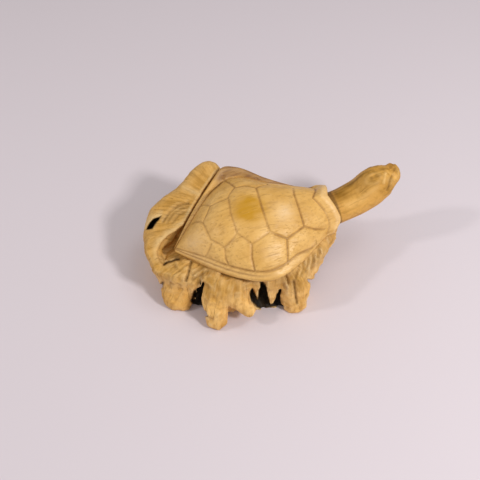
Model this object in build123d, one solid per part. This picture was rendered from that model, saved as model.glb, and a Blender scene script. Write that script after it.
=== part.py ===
from build123d import *
import math
import os

# Carved wooden turtle on a natural root. Millimetres and degrees.
# +X points to the head, +Y to the turtle's left, +Z up, the floor is z = 0.

# Shell: half widths are to the right (near) and left (far) of its midline
shell_length = 92.0
near_half_width = 37.5
far_half_width = 37.0
dome_height = 15.0
dome_power = 2.2
seat_arch = 5.5
rim_edge = 1.0
tail_blunt = 1.5
shell_x = -1.5
shell_y = 0.5
shell_height = 34.0
shell_roll = 9.0
shell_pitch = 3.0

# Carved lines between the shell's plates
seam_width = 1.3
seam_depth = 1.0

# Collar that stands round the neck
collar_length = 9.0
collar_lift = 2.2

# Neck and head
neck_length = 41.5
neck_rise = 17.5
neck_turn = 0.8
neck_drop = 3.2
neck_radius = 9.6
head_radius = 9.8
snout_radius = 3.0

# Root
root_waist = 12.0
crown_drop = 4.0
ledge_drop = 2.0
rim_groove = 1.0
hollow_height = 19.0
hollow_length = 60.0
hollow_width = 34.0
pocket_length = 24.0
pocket_width = 16.0
pocket_depth = 12.0
pocket_turn = 65.0

# Gaps between the feet
gap_back = 20.0
far_gap_width = 13.0
far_gap_height = 20.0
front_clearance = 11.5
front_clearance_place = 27.5
lobe_gap_width = 5.0
lobe_gap_floor = 10.0

# Feet, prongs and slivers
palm_radius = 8.0
prong_radius = 7.0
finger_radius = 6.2
left_stump_radius = 9.0
left_edge_radius = 5.5
right_stump_radius = 7.6
long_sliver_radius = 4.0
thin_sliver_radius = 2.4

# Dowels
peg_diameter = 6.0
peg_length = 16.0
peg_clearance = 0.1
peg_offset = 2.0
front_peg_place = 20.0
rear_peg_place = 16.0

# Shape of the shell along its length: place, near, far and dome shares
SHELL_STATIONS = [
    (0.09, 0.28, 0.28, 0.36),
    (0.27, 0.72, 0.74, 0.83),
    (0.48, 1.00, 1.00, 1.00),
    (0.67, 0.86, 0.68, 0.93),
    (0.86, 0.55, 0.42, 0.76),
    (1.00, 0.36, 0.31, 0.61),
]
COLLAR_START = (0.46, 0.36, 0.68)
DOME_STEPS = [-1.0, -0.8, -0.5, -0.25, 0.0, 0.25, 0.5, 0.8, 1.0]

# Seams between the plates: share of the length from the tail, share of the half width (near side negative)
SEAMS = [
    [(0.90, 0.88), (0.78, 0.55), (0.76, 0.0), (0.755, -0.57), (0.90, -0.88)],
    [(0.78, 0.55), (0.65, 0.62), (0.56, 0.40), (0.545, 0.0), (0.54, -0.42), (0.63, -0.61), (0.755, -0.57)],
    [(0.56, 0.40), (0.44, 0.47), (0.38, 0.36), (0.36, 0.06), (0.36, -0.33), (0.42, -0.52), (0.54, -0.42)],
    [(0.38, 0.36), (0.27, 0.45), (0.195, 0.18), (0.205, -0.34), (0.27, -0.55), (0.36, -0.33)],
    [(0.63, -0.61), (0.60, -0.88)],
    [(0.42, -0.52), (0.395, -0.88)],
    [(0.27, -0.55), (0.265, -0.86)],
    [(0.205, -0.46), (0.155, -0.76)],
    [(0.65, 0.62), (0.62, 0.88)],
    [(0.44, 0.48), (0.42, 0.88)],
    [(0.27, 0.45), (0.235, 0.84)],
    [(0.195, 0.18), (0.12, 0.74)],
]

# Outlines of the root seen from above, anticlockwise from the front: shares of the shell's length and width
CROWN_OUTLINE = [
    (0.50, 0.03), (0.36, 0.17), (0.17, 0.32), (0.04, 0.44), (-0.07, 0.59), (-0.18, 0.67), (-0.38, 0.55),
    (-0.62, 0.43), (-0.67, 0.23), (-0.67, 0.00), (-0.55, -0.16), (-0.36, -0.27), (-0.22, -0.35),
    (-0.04, -0.44), (0.15, -0.42), (0.36, -0.30),
]
WAIST_OUTLINE = [
    (0.46, 0.01), (0.36, 0.19), (0.18, 0.35), (0.05, 0.48), (-0.07, 0.58), (-0.20, 0.64), (-0.39, 0.56),
    (-0.61, 0.44), (-0.65, 0.26), (-0.65, -0.01), (-0.57, -0.17), (-0.41, -0.27), (-0.26, -0.36),
    (-0.04, -0.44), (0.15, -0.44), (0.36, -0.28),
]
FOOT_OUTLINE = [
    (0.41, 0.00), (0.34, 0.17), (0.18, 0.35), (0.07, 0.50), (-0.07, 0.58), (-0.20, 0.62), (-0.38, 0.55),
    (-0.55, 0.43), (-0.61, 0.26), (-0.60, -0.01), (-0.53, -0.19), (-0.41, -0.28), (-0.26, -0.38),
    (-0.04, -0.44), (0.15, -0.44), (0.33, -0.27),
]
ROOT_MIDDLE = (-0.065, 0.055)
POCKET_MIDDLE = (-0.535, 0.075)
LOBE_GAP_TIP = (-0.48, 0.36)
LOBE_GAP_MOUTH = (-0.74, 0.39)
FAR_GAP_HEADINGS = [72, 128]

# Hollow and pocket narrow upwards and downwards: share of the height or depth, share of the width
HOLLOW_STEPS = [(-0.05, 1.0), (0.5, 0.93), (1.0, 0.6)]
POCKET_STEPS = [(0.0, 0.35), (0.35, 0.8), (0.9, 1.0), (2.0, 1.0)]

# Neck from collar to snout: share of the run, share of the rise, radius
NECK_STATIONS = [
    (0.00, 0.00, neck_radius * 0.98),
    (0.20, 0.10, neck_radius),
    (0.42, 0.31, head_radius),
    (0.61, 0.59, head_radius),
    (0.76, 0.77, head_radius * 0.92),
    (0.87, 0.86, head_radius * 0.77),
    (0.95, 0.94, head_radius * 0.56),
    (1.00, 1.00, snout_radius),
]

# The near side faces this heading. Its limbs: share of the length across, share of the width outwards,
# share of the shell's height, share of the limb's radius
near_heading = 252.0
PALM = [(-0.29, 0.24, 0.7, 0.8), (-0.22, 0.35, 0.62, 1.0), (-0.13, 0.38, 0.63, 1.0), (-0.06, 0.28, 0.7, 0.8)]
PRONG = [(-0.24, 0.28, 0.78, 1.0), (-0.25, 0.48, 0.36, 1.05), (-0.24, 0.56, -0.06, 0.7)]
FINGER = [(-0.2, 0.33, 0.68, 1.2), (-0.12, 0.46, 0.47, 1), (-0.05, 0.52, 0.34, 0.7), (-0.02, 0.54, 0.3, 0.2)]
LEFT_STUMP = [(-0.49, 0.13, 0.59, 1.0), (-0.49, 0.26, 0.35, 1.0), (-0.49, 0.36, -0.06, 0.95)]
LEFT_EDGE = [(-0.43, 0.16, 0.65, 1.1), (-0.43, 0.30, 0.35, 1.0), (-0.45, 0.39, -0.06, 0.9)]
RIGHT_STUMP = [(0.22, 0.26, 0.85, 1.0), (0.23, 0.355, 0.42, 1.0), (0.23, 0.38, -0.06, 0.95)]
LONG_SLIVER = [(0.085, 0.42, 0.86, 1.0), (0.08, 0.46, 0.59, 0.67), (0.075, 0.475, 0.3, 0.15)]
THIN_SLIVER = [(-0.01, 0.43, 0.88, 1.0), (-0.005, 0.465, 0.62, 0.6), (-0.003, 0.475, 0.44, 0.2)]
# Gaps of the near side: share of the length across, share of the shell's height
LEFT_GAP = [
    (-0.45, -0.09), (-0.39, 0.18), (-0.335, 0.65), (-0.317, 0.69), (-0.305, 0.61), (-0.33, 0.2),
    (-0.33, -0.09),
]
NEAR_GAP = [
    (-0.035, -0.09), (-0.035, 0.77), (0.015, 0.9), (0.035, 0.88), (0.06, 0.8), (0.12, 0.76), (0.12, -0.09),
]

half_length = shell_length / 2
width = near_half_width + far_half_width
shell_plane = Plane(
    origin=(shell_x, shell_y, shell_height),
    x_dir=(math.cos(math.radians(shell_pitch)), 0, math.sin(math.radians(shell_pitch))),
    z_dir=(
        -math.sin(math.radians(shell_pitch)) * math.cos(math.radians(shell_roll)),
        -math.sin(math.radians(shell_roll)),
        math.cos(math.radians(shell_pitch)) * math.cos(math.radians(shell_roll)),
    ),
)
arch_radius = (half_length**2 + seat_arch**2) / (2 * seat_arch)
outwards = Vector(math.cos(math.radians(near_heading)), math.sin(math.radians(near_heading)), 0)
near_plane = Plane((0, 0, 0), x_dir=Vector(0, 0, 1).cross(outwards), z_dir=outwards)


def arch(x):
    """Height of the arched seat over the shell's plane, x from the shell's middle."""
    return seat_arch - arch_radius + math.sqrt(arch_radius**2 - x**2)


def under_seat(drop):
    """All that lies under the arched seat, lowered by drop, in the shell's own plane."""
    drum = Cylinder(arch_radius, 3 * width, rotation=(90, 0, 0))
    return shell_plane * Pos(0, 0, seat_arch - arch_radius - drop) * drum


def on_root(point):
    """A place of the outlines, from shares of the shell's length and width."""
    return (point[0] * shell_length, point[1] * width)


def dome_section(place, near, far, rise, skirt):
    """Cross-section of the dome at a share of the length, with its flanks carried down by skirt."""
    x = shell_length * place - half_length
    base = arch(x)
    crest = []
    for t in DOME_STEPS:
        half = near if t < 0 else far
        crest.append((half * t, base + rise * (1 - abs(t) ** dome_power)))
    low = base - skirt
    sides = Polyline(crest[-1], (far, low), (-near, low), crest[0])
    outline = Spline(*crest) + sides
    cut = Plane(shell_plane.from_local_coords((x, 0, 0)), x_dir=shell_plane.y_dir, z_dir=shell_plane.x_dir)
    return cut * make_face(outline)


def half_widths(place):
    """Near and far half width at a share of the length, straight between the stations."""
    stations = [(0, 0, 0, 0)] + SHELL_STATIONS
    for before, after in zip(stations, stations[1:]):
        if place <= after[0]:
            share = (place - before[0]) / (after[0] - before[0])
            near = before[1] + share * (after[1] - before[1])
            far = before[2] + share * (after[2] - before[2])
            return near_half_width * near, far_half_width * far


def seam_lines():
    """Plan of all seams in the shell's own plane, as strips of the seam's width."""
    strips = Sketch()
    for seam in SEAMS:
        corners = []
        for place, share in seam:
            near, far = half_widths(place)
            corners.append((shell_length * place - half_length, share * (near if share < 0 else far)))
        strips += trace(Polyline(*corners), line_width=seam_width)
    return strips


def make_carapace():
    """Dome lofted from tail to collar, with carved seams, cut along the arched seat."""
    skirt = 4 * rim_edge
    tail = tail_blunt / shell_length
    sections = [dome_section(tail, tail_blunt, tail_blunt, tail_blunt, skirt)]
    for place, near, far, rise in SHELL_STATIONS:
        sections.append(
            dome_section(place, near_half_width * near, far_half_width * far, dome_height * rise, skirt)
        )
    dome = loft(sections)
    back = 1 - collar_length / shell_length
    front = SHELL_STATIONS[-1][1:]
    collar_ends = []
    for place, (near, far, rise), lift in ((back, COLLAR_START, 0), (1.0, front, collar_lift)):
        near = near_half_width * near + lift
        far = far_half_width * far + lift
        collar_ends.append(dome_section(place, near, far, dome_height * rise + lift, skirt))
    collar = loft(collar_ends, ruled=True)
    lowered = dome.moved(Location(shell_plane.z_dir * -seam_depth))
    seams = shell_plane * extrude(seam_lines(), 2 * dome_height) - lowered
    return dome - seams + collar - under_seat(rim_edge)


def make_neck():
    """Round sections along a rising curve, from the collar's face to the snout."""
    base = neck_face().origin
    points = []
    for along, up, _ in NECK_STATIONS:
        points.append(base + Vector(along * neck_length, along * neck_turn, up * neck_rise))
    sections = [neck_face() * Circle(NECK_STATIONS[0][2])]
    for i in range(1, len(points)):
        ahead = points[min(i + 1, len(points) - 1)]
        sections.append(Plane(points[i], z_dir=ahead - points[i - 1]) * Circle(NECK_STATIONS[i][2]))
    return loft(sections)


def limb(stations, radius):
    """A limb of the near side through its stations, with sections square to its run."""
    places = []
    for across, out, height, _ in stations:
        local = (across * shell_length, height * shell_height, out * width)
        places.append(near_plane.from_local_coords(local))
    sections = []
    for i, station in enumerate(stations):
        run = places[min(i + 1, len(places) - 1)] - places[max(i - 1, 0)]
        sections.append(Plane(places[i], z_dir=run) * Circle(radius * station[3]))
    return loft(sections)


def level(outline, z):
    """Closed smooth outline of the root at a height."""
    return Pos(0, 0, z) * make_face(Spline(*[on_root(point) for point in outline], periodic=True))


def near_gap(outline):
    """Opening between two feet of the near side, from its back wall outwards."""
    corners = [(across * shell_length, height * shell_height) for across, height in outline]
    return extrude(near_plane.offset(gap_back) * make_face(Polyline(*corners, close=True)), shell_length)


def far_gap(direction):
    """Wedge between two feet of the far side, open outwards and to the floor, narrower at its top."""
    heading = math.radians(direction)
    away = Vector(math.cos(heading), math.sin(heading), 0)
    start = Vector(*on_root(ROOT_MIDDLE), 0) + away * (hollow_width / 4)
    wall = Plane(start, x_dir=Vector(0, 0, 1).cross(away), z_dir=away)
    foot = far_gap_width / 2
    top = far_gap_width / 5
    sides = [(-foot, -rim_edge), (foot, -rim_edge), (top, far_gap_height), (-top, far_gap_height)]
    return extrude(wall * make_face(Polyline(*sides, close=True)), shell_length)


def front_gap():
    """Room under the front of the root, which doesn't reach the floor."""
    start = front_clearance_place
    corners = [(start, -rim_edge), (start + shell_length, -rim_edge), (start + shell_length, front_clearance)]
    room = make_face(Polyline(*corners, (start, front_clearance), close=True))
    return extrude(near_plane * room, shell_length, both=True)


def lobe_gap():
    """Notch between the two lobes behind the far edge, from its floor upwards, closing inwards."""
    tip = on_root(LOBE_GAP_TIP)
    mouth = on_root(LOBE_GAP_MOUTH)
    run = Vector(mouth[0] - tip[0], mouth[1] - tip[1], 0)
    side = run.cross(Vector(0, 0, 1)).normalized() * lobe_gap_width
    corners = [tip, (mouth[0] + side.X, mouth[1] + side.Y), (mouth[0] - side.X, mouth[1] - side.Y)]
    return Pos(0, 0, lobe_gap_floor) * extrude(make_face(Polyline(*corners, close=True)), shell_height)


def neck_face():
    """Plane of the collar's front face, at the neck's middle."""
    middle = shell_plane.from_local_coords((half_length, 0, -neck_drop))
    return Plane(middle, x_dir=shell_plane.y_dir, z_dir=shell_plane.x_dir)


def shell_outline(inset):
    """Plan of the shell in its own plane, drawn in by inset."""
    near = [(-half_length + inset, 0)]
    far = []
    for place, near_share, far_share, _ in SHELL_STATIONS:
        x = shell_length * place - half_length
        near.append((x, inset - near_half_width * near_share))
        far.append((x, far_half_width * far_share - inset))
    far = list(reversed(far)) + [near[0]]
    return make_face(Spline(*near) + Line(near[-1], far[0]) + Spline(*far))


def narrowing(steps, middle, low, height, long, wide, turn):
    """Room of oval sections, from steps of height share and width share."""
    ovals = []
    for up, share in steps:
        oval = Ellipse(share * long / 2, share * wide / 2)
        ovals.append(Pos(*on_root(middle), low + up * height) * Rot(0, 0, turn) * oval)
    return loft(ovals)


def make_root():
    """Root mass under the arched seat, with its plinth, hollow, gaps, feet and prongs."""
    top = shell_height + seat_arch + 2 * dome_height
    mass = loft(
        [
            level(FOOT_OUTLINE, 0),
            level(WAIST_OUTLINE, root_waist),
            level(CROWN_OUTLINE, shell_height - crown_drop),
            level(CROWN_OUTLINE, top),
        ]
    )
    hollow = narrowing(HOLLOW_STEPS, ROOT_MIDDLE, 0, hollow_height, hollow_length, hollow_width, 0)
    mass -= [hollow, lobe_gap(), front_gap(), near_gap(NEAR_GAP)] + [far_gap(way) for way in FAR_GAP_HEADINGS]
    limbs = [
        (PALM, palm_radius),
        (PRONG, prong_radius),
        (FINGER, finger_radius),
        (LEFT_STUMP, left_stump_radius),
        (LEFT_EDGE, left_edge_radius),
        (RIGHT_STUMP, right_stump_radius),
        (LONG_SLIVER, long_sliver_radius),
        (THIN_SLIVER, thin_sliver_radius),
    ]
    for stations, radius in limbs:
        mass += limb(stations, radius)
    plinth = shell_plane * extrude(shell_outline(rim_groove), 2 * dome_height, both=True)
    seat = under_seat(rim_edge + ledge_drop) + (under_seat(rim_edge) & plinth)
    block = Box(2 * shell_length, 2 * shell_length, 2 * top, align=(Align.CENTER, Align.CENTER, Align.MIN))
    below = Box(2 * shell_length, 2 * shell_length, top, align=(Align.CENTER, Align.CENTER, Align.MAX))
    pocket_low = shell_height - pocket_depth
    pocket = narrowing(
        POCKET_STEPS, POCKET_MIDDLE, pocket_low, pocket_depth, pocket_length, pocket_width, pocket_turn
    )
    neck_room = neck_face() * extrude(Circle(neck_radius + rim_groove), neck_length)
    return mass - [near_gap(LEFT_GAP), block - seat, below, pocket, neck_room]


def make_pegs():
    """Dowels and their bores: two across the shell's seat, one across the neck's face."""
    places = {}
    for name, place in (("shell_peg_front", front_peg_place), ("shell_peg_rear", -rear_peg_place)):
        middle = shell_plane.from_local_coords((place, 0, arch(place) - rim_edge - peg_offset))
        places[name] = Plane(middle, x_dir=shell_plane.x_dir, z_dir=shell_plane.z_dir)
    face = neck_face()
    places["neck_peg"] = Plane(face.from_local_coords((0, -peg_diameter / 2, 0)), face.x_dir, face.z_dir)
    pegs = {name: plane * Cylinder(peg_diameter / 2, peg_length) for name, plane in places.items()}
    wide = peg_diameter / 2 + peg_clearance
    bores = {name: plane * Cylinder(wide, peg_length + 2 * peg_clearance) for name, plane in places.items()}
    return pegs, bores


pegs, bores = make_pegs()
nodes = {
    "root_base": make_root() - list(bores.values()),
    "carapace": make_carapace() - [bores["shell_peg_front"], bores["shell_peg_rear"]],
    "neck_and_head": make_neck() - bores["neck_peg"],
    **pegs,
}
boxes = [piece.bounding_box() for piece in nodes.values()]
middle_x = (min(box.min.X for box in boxes) + max(box.max.X for box in boxes)) / 2
middle_y = (min(box.min.Y for box in boxes) + max(box.max.Y for box in boxes)) / 2
os.makedirs("parts", exist_ok=True)
for name, piece in nodes.items():
    export_step(Pos(-middle_x, -middle_y, 0) * piece, "parts/" + name + ".step")
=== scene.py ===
import bpy
import numpy as np
from mathutils import Matrix, Vector


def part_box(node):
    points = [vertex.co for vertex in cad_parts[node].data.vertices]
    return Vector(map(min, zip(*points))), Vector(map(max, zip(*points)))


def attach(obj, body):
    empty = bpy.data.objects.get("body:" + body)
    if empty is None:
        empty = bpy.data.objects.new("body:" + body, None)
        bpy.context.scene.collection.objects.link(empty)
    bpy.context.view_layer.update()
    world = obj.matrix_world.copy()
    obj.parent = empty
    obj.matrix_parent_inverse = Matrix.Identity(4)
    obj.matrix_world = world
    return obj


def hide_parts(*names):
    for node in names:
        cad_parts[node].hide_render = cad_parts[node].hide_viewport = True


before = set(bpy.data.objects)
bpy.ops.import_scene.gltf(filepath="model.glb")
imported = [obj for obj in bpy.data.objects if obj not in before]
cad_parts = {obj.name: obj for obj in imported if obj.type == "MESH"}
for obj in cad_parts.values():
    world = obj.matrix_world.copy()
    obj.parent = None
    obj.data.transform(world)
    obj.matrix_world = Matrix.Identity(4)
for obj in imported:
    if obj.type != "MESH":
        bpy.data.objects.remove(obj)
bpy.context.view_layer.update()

# Carved wooden turtle on its root. Shapes are worked out in millimetres in the carving's own place, with the
# shell's midline along X, and moved to the part's origin at the end. The near side is the viewer's.
# A pair of numbers given to fade starts at the first and is full at the second, whichever is larger.

# Camera: the photograph's view, as an image of this size in pixels
IMAGE_PIXELS = 480.0
FOCAL_PIXELS = 720.0
MM_PER_PIXEL = 0.56
SENSOR_WIDTH = 36.0
CLIP_START = 0.01
VIEW_DISTANCE = 400.0
VIEW_AZIMUTH = np.radians(-18.0)
VIEW_ELEVATION = np.radians(50.0)
AIM_POINT = np.array([0.0, 0.0, 36.0])
AIM_PIXEL = (257.0, 225.0)

# Stage in metres: floor, sky, and lights as (name, place, size, watts)
FLOOR_HALF = 3.0
FLOOR_COLOUR = (0.68, 0.605, 0.64, 1)
FLOOR_ROUGHNESS = 0.8
SKY_COLOUR = (1.0, 0.99, 0.98, 1)
SKY_STRENGTH = 0.45
LIGHTS = [
    ("right_softbox", (0.38, -0.54, 0.61), 0.12, 4.4),
    ("left_lamp", (-0.62, 0.07, 0.64), 0.08, 1.4),
    ("top_softbox", (0.34, 0.0, 0.83), 0.3, 0.9),
]

# Shell: its middle, tilt and size, with stations as distances from the tail
SHELL_MIDDLE = np.array([-1.5, 0.5, 34.0])
SHELL_ROLL = np.radians(9.0)
SHELL_PITCH = np.radians(3.0)
SHELL_LENGTH = 92.0
SEAT_ARCH = 5.5
RIM_EDGE = 1.0
DOME_POWER = 2.2
NEAR_STATIONS = [0, 8, 25, 44, 62, 79, 92]
NEAR_HALF = [0.8, 10, 27, 36.6, 31.4, 20.5, 13.5]
FAR_STATIONS = [0, 8, 25, 33, 39, 47, 62, 79, 92]
FAR_HALF = [0.8, 10, 27.5, 34.5, 39, 37.5, 25.5, 15.5, 11.5]
DOME_STATIONS = [0, 20, 45, 70, 92]
DOME_RISE = [0.4, 11.5, 15, 13, 9]
BRIM_STATIONS = [0, 12, 30, 38, 50, 70, 92]
FAR_BRIM = [0.8, 2.9, 4.8, 7.2, 6.0, 1.5, 0]
BRIM_FLARE = [0, 0.4, 0.8, 2.4, 1.4, 0.2, 0]
LEAST_BRIM = 0.1
LEAST_DOME_SHARE = 0.5
PEG_PLACE = 20.0
PEG_OFFSET = 2.0
SHELL_ROWS = 330
SHELL_ACROSS = 236
UNDERSIDE_ACROSS = 26
EDGE_CROWDING = 0.9 * np.pi / 2
TAIL_START = 0.2

# Front of the shell: its edge and the collar's line by the share of the half width, and the lip under the
# collar as (share of the way to its middle, step forwards)
FRONT_SHARE = [0, 0.34, 0.6, 0.8, 0.9, 1]
FRONT_EDGE = [87, 88.8, 90.2, 90.8, 89.8, 86]
COLLAR_LINE = [80, 83.2, 84.8, 85, 84.2, 82]
COLLAR_LIFT = 1.9
COLLAR_RISE = (-0.5, 4.5)
LIP_MIDDLE = np.array([SHELL_LENGTH / 2 - 1.5, 0, 2.0])
LIP_STEPS = [(0.04, 0.5), (0.1, 0.7), (0.16, 0.3), (0.22, -0.8), (0.3, -2.4), (0.6, -3.0)]

# Carved lines on the shell
GROOVE_WIDTH = 0.57
GROOVE_DEPTH = 0.6
FAINTEST_GROOVE = 0.55
FAINT_RANGE = (-0.5, 0.4)
NO_LINE = 9.0
PLATE_CROWN = 0.45
PLATE_ROUNDING = 3.2
TOOL_WAVE_HEIGHT = 0.12
EDGE_ROUNDING = 0.8
RIM_BAND = 3.8
RIM_NARROWS = (76, 60)
RIM_WIDENS = (0, 18)
TAIL_RIM_SHARE = 0.5
RIM_END = 74
RIM_MIDDLE = 0.48
MIDDLE_LINE_WIDTH = 0.45
MIDDLE_LINE_SHARE = 0.7
MIDDLE_LINE_FADES = (52, 30)
SEAM_MARGIN = 0.7 * RIM_BAND
SEAM_STOPS = (-0.5, -2.2)
SEAM_STOP_DISTANCE = 4.0
STEPS_PER_RUN = 8

# Seams between the plates, as (distance from the tail, share of the half width, near side negative)
MIDLINE_SEAMS = [
    [(72, 0.55), (70.3, 0.2), (70, 0), (69.5, -0.32), (69.4, -0.57)],
    [(51.6, 0.4), (50.1, 0), (49.7, -0.3), (49.9, -0.42)],
    [(40.5, 0.47), (35.2, 0.36), (33.2, 0.06), (33, -0.26), (32.9, -0.33)],
    [(34.8, 0.33), (24.7, 0.45), (18, 0.18), (19, -0.34), (24.7, -0.55), (32.9, -0.33)],
]
NEAR_SEAMS = [
    [(69.4, -0.57), (76, -0.75), (83.5, -0.9)],
    [(49.9, -0.42), (57.8, -0.61), (69.4, -0.57)],
    [(32.9, -0.33), (38.7, -0.52), (49.9, -0.42)],
    [(57.8, -0.61), (55.6, -0.83), (54.6, -0.91)],
    [(38.7, -0.52), (36.7, -0.71), (36.3, -0.88)],
    [(24.7, -0.55), (23.7, -0.74), (24.4, -0.86)],
    [(18.7, -0.46), (15.8, -0.66), (14.3, -0.76)],
]
FAR_SEAMS = [
    [(40.5, 0.47), (46.5, 0.48), (51.6, 0.4)],
    [(51.6, 0.4), (60, 0.62), (72, 0.55)],
    [(72, 0.55), (78, 0.74), (83, 0.9)],
    [(60, 0.62), (57.5, 0.8), (56.5, 0.9)],
    [(41, 0.48), (38.9, 0.75), (38.4, 0.88)],
    [(24.7, 0.45), (22, 0.75), (21.4, 0.84)],
    [(18, 0.18), (11.6, 0.71), (10.8, 0.76)],
]

# Tones on the shell, placed as the seams are: stain, painted highlight patches as (place, size, share), rim
# and brim
STAIN_PLACE = (44, 0.01)
STAIN_SIZE = (8.5, 0.22)
STAIN_SHARE = 1.15
STAIN_BREAK = 0.6
# Painted highlights on the dome: on the second plate, on a near plate and on the tail's plate
PAINTED_HIGHLIGHT_PATCHES = [
    ((61, -0.2), (5.5, 0.16), 1.6),
    ((48, -0.68), (5, 0.12), 0.6),
    ((11, -0.3), (6, 0.5), 1.0),
]
# Painted highlight on the collar and along the ridge of the rim
COLLAR_HIGHLIGHT = (2.2, 4.2)
RIDGE_HIGHLIGHT_WIDTH = 1.1
RIDGE_HIGHLIGHT_SHARE = 0.4
# Painted shade on the far brim, which faces away from the light, together with a browner stain
BRIM_SHADE = (1.05, 0.75)
BRIM_SHADE_STARTS = (31, 38)

# Neck and head: middle of each section, its reach up, down and sideways, and its lean in degrees
NECK_PLACES = [
    (38.5, 0.8, 32.6), (45.5, 0.9, 33.0), (53, 1.0, 34.6), (62, 1.1, 38.4), (69.5, 1.2, 43.2),
    (75.3, 1.5, 46.6), (79.5, 2.0, 48.4), (82.4, 2.6, 50.2), (84.0, 3.1, 51.8),
]
NECK_UP = [9.2, 9.4, 9.6, 10.0, 11.6, 8.8, 4.9, 5.4, 3.0]
NECK_DOWN = [9.4, 9.6, 9.8, 10.1, 10.1, 9.6, 8.4, 6.2, 2.8]
NECK_SIDE = [9.4, 9.6, 9.7, 9.9, 10.0, 8.8, 6.8, 5.2, 2.4]
NECK_LEAN = [0, 0, 0, 2, 6, 12, 20, 26, 28]
NECK_RINGS = 230
NECK_AROUND = 170
SLOPE_STEP = 0.02
NECK_RADIUS = 9.0
STATION_LENGTH = 7.0

# Face: places as (station along the neck, degrees from the crown, the same on both sides), lines with their
# width, and how far each carved form stands out
CROWN_TURN = 55.0
EYE_PLACE = (4.28, 53.0)
EYE_SIZE = (0.34, 12.0)
LID_PLACE = 1.35
LID_WIDTH = 0.4
FACE_LINES = {
    "mouth": ([(5.7, 68), (5.5, 74), (5.21, 86), (4.92, 107), (4.7, 113)], 0.7),
    "brow": ([(5.05, 24), (5.2, 40), (5.4, 56)], 1.1),
    "cheek": ([(4.7, 82), (4.92, 68), (5.2, 52)], 1.0),
}
CARVED_HEIGHTS = {
    "mouth": -0.6, "brow": -0.35, "cheek": 0.6, "lid": 0.2, "hollow": -0.55,
    "waves": -0.2, "facets": 0.28, "nicks": 0.2,
}
FACETS_START = (3.8, 4.8)
NICKS_START = (3.7, 4.5)

# Tones on the neck: places as (degrees from the crown, width), stretches as stations along the neck, and the
# shares of what is mixed
NAPE = (28, 36)
# Flank and snout are places of painted highlights, as are the cheek and the lid
FLANK = (82, 17)
SNOUT = (88, 26)
NAPE_STRETCH = [(1.0, 1.7), (4.8, 3.8)]
PATCH_STRETCH = [(1.3, 1.8), (4.1, 3.2)]
FLANK_STRETCH = [(1.4, 2.2), (4.6, 3.9)]
SNOUT_START = (4.75, 5.3)
HEAD_START = (3.8, 4.6)
# Painted shadow where the neck goes in under the collar
SEAT_SHADE = (1.38, 1.15)
SOCKET_SHADE = (2.6, 1.2)
STREAK_FADE = (-0.2, 0.5)
PATCH_FADE = (0.05, 0.6)
PLAIN_STAIN = 0.3
FLANK_BREAK = 0.6
# Most that the painted highlight may add up to
BRIGHTEST_HIGHLIGHT = 1.6
LINE_DARKENING_SHARES = {"mouth": 0.7, "brow": 0.25}
# Painted shade in the eye sockets, speckled by the facets and nicks
SOCKET_SHARES = {"hollow": 0.7, "socket": 0.4}
SOCKET_SPECKLE = {"all": 0.8, "facets": 0.4, "nicks": 1.1}
SNOUT_SPECKLE = {"all": 0.7, "nicks": 0.5}
HEAD_STAIN = {"all": 0.25, "facets": 0.35, "nicks": 0.35}
PATCH_SHARE = 0.6
PAINTED_HIGHLIGHT_SHARES = {"cheek": 1.2, "lid": 0.5, "flank": 0.8, "snout": 0.8}

# Root: outlines seen from above, anticlockwise from the front, and their heights
ROOT_MIDDLE = np.array([-6.0, 4.0])
CROWN_HEIGHT = 30.0
WAIST_HEIGHT = 12.0
CROWN_OUTLINE = [
    (46, 2), (33, 13), (16, 24), (4, 33), (-6, 44), (-16.5, 48.5), (-35, 39), (-54.5, 30.5),
    (-59.5, 16.5), (-60, 0), (-51, -12), (-33, -20), (-20, -26), (-4, -33), (14, -31), (33, -22),
]
WAIST_OUTLINE = [
    (42, 1), (33, 14), (17, 26), (5, 36), (-6, 43), (-18, 48), (-36, 41), (-54, 31),
    (-58, 18), (-58.5, -1), (-52, -13), (-38, -20), (-24, -27), (-4, -33), (14, -33), (33, -21),
]
FOOT_OUTLINE = [
    (38, 0), (31, 13), (17, 26), (6, 37), (-6, 43), (-18, 46), (-35, 41), (-51, 32),
    (-56, 19), (-55, -1), (-49, -14), (-38, -21), (-24, -28), (-4, -33), (14, -33), (30, -20),
]
SKIN_SLOPE = 0.85
VOXEL = 0.66
ROOT_LOW = np.array([-66.0, -46.0, -1.4])
ROOT_HIGH = np.array([51.0, 54.0, 50.0])

# Where the root meets the shell: ledge round the seat, gutter along the far edge, and the far side's rear,
# where the lobes rise, and front, where the root falls away
LEDGE_DROP = 2.0
LEDGE_BLEND = 5.0
FAR_LEDGE_RAISE = 0.4
FAR_LEDGE_FALL = 7.0
FAR_REAR_SIDE = (-2, 8)
FAR_FRONT_SIDE = (0, 8)
FAR_REAR_ENDS = (43, 37)
RIM_GROOVE = 1.0
GUTTER_PLACE = 0.9
GUTTER_HALF = 1.6
GUTTER_DEPTH = 2.6
GUTTER_ENDS = 3.0
FAR_LIP_START = 0.3
FAR_LIP_RAISE = 1.2

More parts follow.
